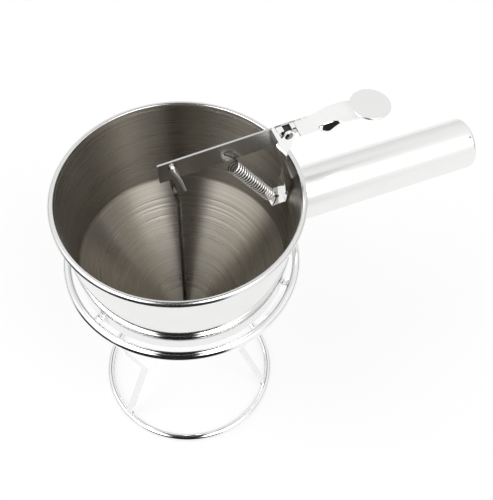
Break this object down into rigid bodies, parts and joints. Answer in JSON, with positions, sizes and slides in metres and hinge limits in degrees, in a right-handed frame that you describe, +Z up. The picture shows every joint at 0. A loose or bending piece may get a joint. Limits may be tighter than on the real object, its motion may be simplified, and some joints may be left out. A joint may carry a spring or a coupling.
{
  "type": "batter dispenser funnel with stand",
  "caption": "Steel funnel with a hollow side handle and a thumb lever that lifts a stopper rod against a return spring, resting in a wire ring stand.",
  "frame": {"origin": "on the funnel's axis, at the table that the stand's base ring rests on", "axes": "+Z up along the funnel's axis; +X out along the handle and the lever; +Y to the left of the handle"},
  "size_m": [0.2745, 0.15, 0.25],
  "materials": {
    "spun_steel": "spun inside, polished outside",
    "polished_steel": "mirror polished",
    "stand_wire": "bright plated",
    "rod_steel": "drawn wire",
    "spring_steel": "drawn wire",
    "bush_nylon": "black, smooth"
  },
  "bodies": {
    "stand": {"stand_top_ring": "stand_wire", "stand_base_ring": "stand_wire", "stand_leg_1": "stand_wire", "stand_leg_2": "stand_wire", "stand_leg_3": "stand_wire"},
    "funnel": {"bowl_shell": "spun_steel", "cone_shell": "spun_steel", "outlet_spout": "polished_steel", "handle_tube": "polished_steel", "handle_end_cap": "polished_steel", "lever_bracket": "polished_steel", "pivot_pin": "rod_steel", "pivot_spacer": "bush_nylon", "pivot_washer": "rod_steel", "return_spring": "spring_steel"},
    "lever": {"press_lever": "polished_steel", "thumb_plate": "polished_steel"},
    "rod": {"pull_rod": "rod_steel", "stopper": "rod_steel"}
  },
  "joints": [
    {"name": "funnel_lift", "type": "slide", "parent": "stand", "child": "funnel", "axis": [0, 0, 1], "range_m": [0, 0.12]},
    {"name": "lever_press", "type": "hinge", "parent": "funnel", "child": "lever", "pos_m": [0.0654, 0, 0.243], "axis": [0, 1, 0], "range_deg": [0, 10], "stiffness_Nm_per_rad": 0.94, "springref_deg": -12.43, "deforming": ["return_spring"]},
    {"name": "rod_lift", "type": "slide", "parent": "funnel", "child": "rod", "axis": [0, 0, 1], "range_m": [0, 0.012]}
  ],
  "couplings": [
    {"joint": "rod_lift", "follows": "lever_press", "m_per_rad": 0.0682}
  ]
}
